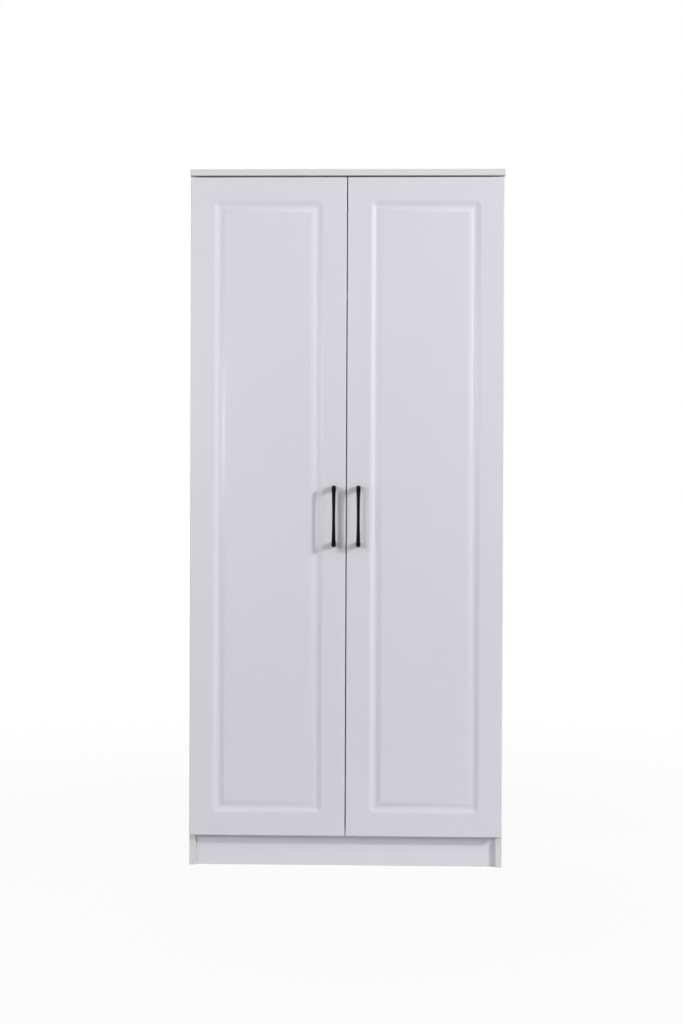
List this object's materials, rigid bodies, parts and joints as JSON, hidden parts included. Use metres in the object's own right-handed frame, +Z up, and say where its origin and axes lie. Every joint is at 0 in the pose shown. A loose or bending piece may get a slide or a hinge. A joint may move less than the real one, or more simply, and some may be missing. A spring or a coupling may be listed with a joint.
{
  "type": "wardrobe with doors",
  "caption": "Tall white two-door wardrobe with raised-panel doors, black bow handles, a hat shelf, a hanging rail, a low shelf and a plinth.",
  "frame": {"origin": "on the floor, at the middle of the width and of the depth", "axes": "+Z up, -Y is the side that the doors face, +X to the right of somebody who faces the doors"},
  "size_m": [0.9, 0.55, 2],
  "materials": {
    "foil_white": "satin white foil over fibreboard",
    "melamine_white": "satin white melamine on chipboard",
    "hardboard_white": "white painted hardboard",
    "handle_black": "satin black coating on die-cast zinc",
    "hinge_nickel": "nickel-plated pressed steel",
    "screw_steel": "bright zinc-plated steel",
    "cast_zinc": "raw die-cast zinc",
    "rail_chrome": "chromed steel tube",
    "beech": "fluted beech",
    "plastic_white": "moulded white plastic",
    "bumper_clear": "soft clear polyurethane"
  },
  "bodies": {
    "carcass": {"adjustable_shelf": "melamine_white", "back_joining_strip": "plastic_white", "back_panel_nails": "screw_steel", "bottom_panel": "melamine_white", "cam_bolts": "screw_steel", "cam_locks": "cast_zinc", "door_bumpers": "bumper_clear", "front_plinth": "melamine_white", "hanging_rail": "rail_chrome", "hat_shelf": "melamine_white", "left_back_panel": "hardboard_white", "left_hinge_adjusters": "hinge_nickel", "left_hinge_arm_pins": "hinge_nickel", "left_hinge_arms": "hinge_nickel", "left_hinge_plate_screws": "screw_steel", "left_hinge_plates": "hinge_nickel", "left_rail_socket": "plastic_white", "left_side_panel": "melamine_white", "rail_socket_screws": "screw_steel", "rear_plinth": "melamine_white", "right_back_panel": "hardboard_white", "right_hinge_adjusters": "hinge_nickel", "right_hinge_arm_pins": "hinge_nickel", "right_hinge_arms": "hinge_nickel", "right_hinge_plate_screws": "screw_steel", "right_hinge_plates": "hinge_nickel", "right_rail_socket": "plastic_white", "right_side_panel": "melamine_white", "shelf_pins": "plastic_white", "top_panel": "melamine_white", "wall_bracket_screws": "screw_steel", "wall_brackets": "screw_steel", "wood_dowels": "beech"},
    "left_outer_links": {"left_hinge_outer_links": "hinge_nickel"},
    "left_door": {"left_door": "foil_white", "left_handle": "handle_black", "left_handle_screws": "screw_steel", "left_hinge_cups": "hinge_nickel", "left_hinge_cup_screws": "screw_steel", "left_hinge_cup_pins": "hinge_nickel"},
    "left_inner_links": {"left_hinge_inner_links": "hinge_nickel"},
    "right_outer_links": {"right_hinge_outer_links": "hinge_nickel"},
    "right_door": {"right_door": "foil_white", "right_handle": "handle_black", "right_handle_screws": "screw_steel", "right_hinge_cups": "hinge_nickel", "right_hinge_cup_screws": "screw_steel", "right_hinge_cup_pins": "hinge_nickel"},
    "right_inner_links": {"right_hinge_inner_links": "hinge_nickel"}
  },
  "joints": [
    {"name": "left_outer_link_swing", "type": "hinge", "parent": "carcass", "child": "left_outer_links", "pos_m": [-0.419, -0.2066, 1], "axis": [0, 0, 1], "range_deg": [0, 23.69]},
    {"name": "left_door_swing", "type": "hinge", "parent": "left_outer_links", "child": "left_door", "pos_m": [-0.4393, -0.2309, 1], "axis": [0, 0, -1], "range_deg": [0, 117.69]},
    {"name": "left_inner_link_swing", "type": "hinge", "parent": "left_door", "child": "left_inner_links", "pos_m": [-0.4345, -0.2345, 1], "axis": [0, 0, 1], "range_deg": [0, 118.25]},
    {"name": "right_outer_link_swing", "type": "hinge", "parent": "carcass", "child": "right_outer_links", "pos_m": [0.419, -0.2066, 1], "axis": [0, 0, -1], "range_deg": [0, 23.69]},
    {"name": "right_door_swing", "type": "hinge", "parent": "right_outer_links", "child": "right_door", "pos_m": [0.4393, -0.2309, 1], "axis": [0, 0, 1], "range_deg": [0, 117.69]},
    {"name": "right_inner_link_swing", "type": "hinge", "parent": "right_door", "child": "right_inner_links", "pos_m": [0.4345, -0.2345, 1], "axis": [0, 0, -1], "range_deg": [0, 118.25]}
  ],
  "couplings": [
    {"joint": "left_outer_link_swing", "follows": "left_door_swing", "ratio": 0.20128},
    {"joint": "left_inner_link_swing", "follows": "left_door_swing", "ratio": 1.0048},
    {"joint": "right_outer_link_swing", "follows": "right_door_swing", "ratio": 0.20128},
    {"joint": "right_inner_link_swing", "follows": "right_door_swing", "ratio": 1.0048}
  ]
}
